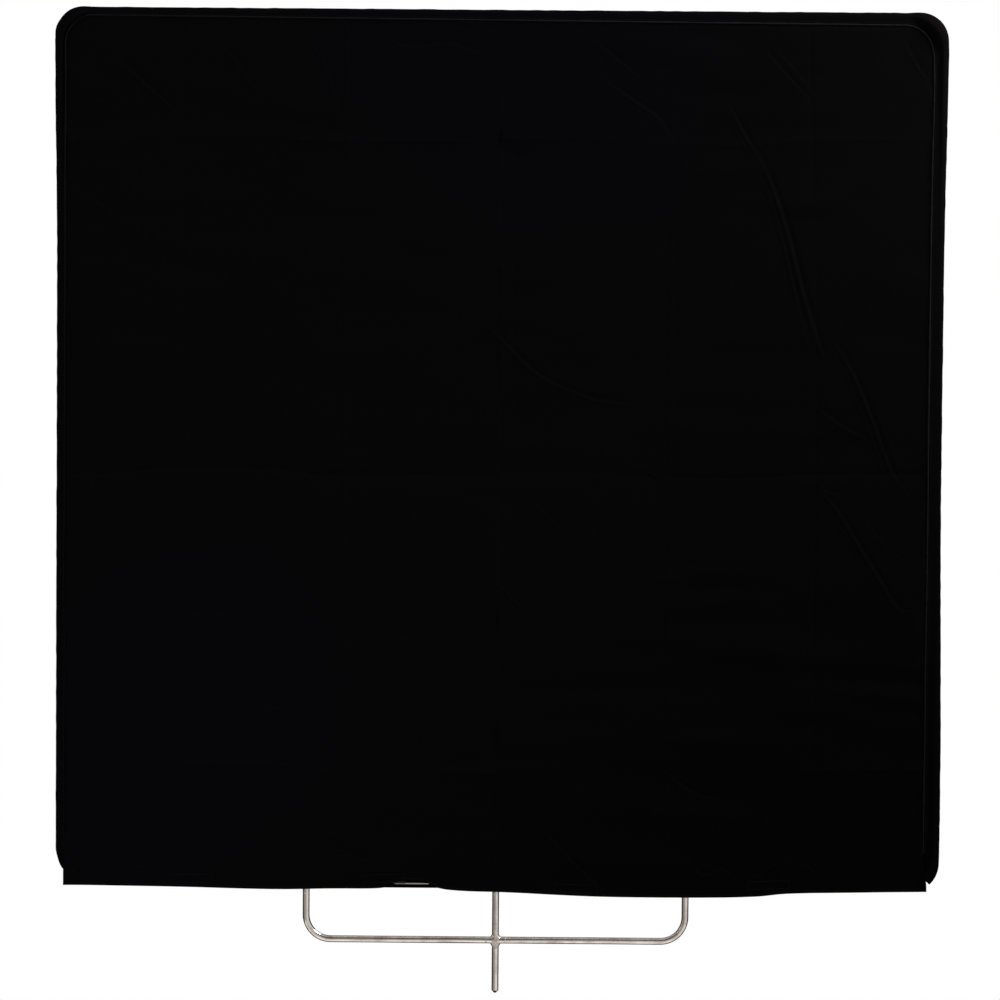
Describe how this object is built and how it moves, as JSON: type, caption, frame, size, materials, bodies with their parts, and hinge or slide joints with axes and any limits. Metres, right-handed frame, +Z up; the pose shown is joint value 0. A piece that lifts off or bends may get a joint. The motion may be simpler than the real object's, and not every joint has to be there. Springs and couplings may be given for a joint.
{
  "type": "flag frame",
  "caption": "Square welded rod frame with a yoke and grip pin below it, in a slip-on black cloth cover whose lower lip folds open to release the wrapped flaps.",
  "frame": {"origin": "on the grip pin's axis, at the middle of its full-diameter length between the weld under the yoke and the nose chamfer", "axes": "+Z up along the pin's axis towards the frame, +X along the bottom bar to the right as seen from the cloth's front, +Y from the front to the back of the cover"},
  "size_m": [1.2214, 0.0161, 1.361],
  "materials": {
    "steel_rod": "satin drawn stainless rod",
    "weld_bead": "dressed weld, slightly duller than the rod",
    "black_cloth": "matt black napped cotton",
    "sewn_seam": "turned-in black cotton, stitched",
    "loop_tape": "black loop tape",
    "hook_tape": "black hook tape"
  },
  "bodies": {
    "frame": {"frame_ring": "steel_rod", "yoke": "steel_rod", "stem": "steel_rod", "grip_pin": "steel_rod", "bar_welds": "weld_bead", "yoke_welds": "weld_bead", "front_panel": "black_cloth", "back_panel": "black_cloth", "edge_seam": "sewn_seam"},
    "front_lip": {"front_lip": "black_cloth", "loop_patch_1": "loop_tape", "loop_patch_2": "loop_tape", "loop_patch_3": "loop_tape", "loop_patch_4": "loop_tape"},
    "wrap_flap_1": {"wrap_flap_1": "black_cloth", "hook_patch_1": "hook_tape"},
    "wrap_flap_2": {"wrap_flap_2": "black_cloth", "hook_patch_2": "hook_tape"},
    "wrap_flap_3": {"wrap_flap_3": "black_cloth", "hook_patch_3": "hook_tape"},
    "wrap_flap_4": {"wrap_flap_4": "black_cloth", "hook_patch_4": "hook_tape"}
  },
  "joints": [
    {"name": "lip_fold", "type": "hinge", "parent": "frame", "child": "front_lip", "pos_m": [0, -0.00596, 0.16493], "axis": [-1, 0, 0], "range_deg": [0, 140]},
    {"name": "flap_fold_1", "type": "hinge", "parent": "frame", "child": "wrap_flap_1", "pos_m": [0, 0.00596, 0.11953], "axis": [1, 0, 0], "range_deg": [0, 112]},
    {"name": "flap_fold_2", "type": "hinge", "parent": "frame", "child": "wrap_flap_2", "pos_m": [0, 0.00596, 0.11953], "axis": [1, 0, 0], "range_deg": [0, 112]},
    {"name": "flap_fold_3", "type": "hinge", "parent": "frame", "child": "wrap_flap_3", "pos_m": [0, 0.00596, 0.11953], "axis": [1, 0, 0], "range_deg": [0, 112]},
    {"name": "flap_fold_4", "type": "hinge", "parent": "frame", "child": "wrap_flap_4", "pos_m": [0, 0.00596, 0.11953], "axis": [1, 0, 0], "range_deg": [0, 112]}
  ],
  "couplings": [
    {"joint": "flap_fold_1", "follows": "lip_fold", "ratio": 0.8},
    {"joint": "flap_fold_2", "follows": "lip_fold", "ratio": 0.8},
    {"joint": "flap_fold_3", "follows": "lip_fold", "ratio": 0.8},
    {"joint": "flap_fold_4", "follows": "lip_fold", "ratio": 0.8}
  ]
}
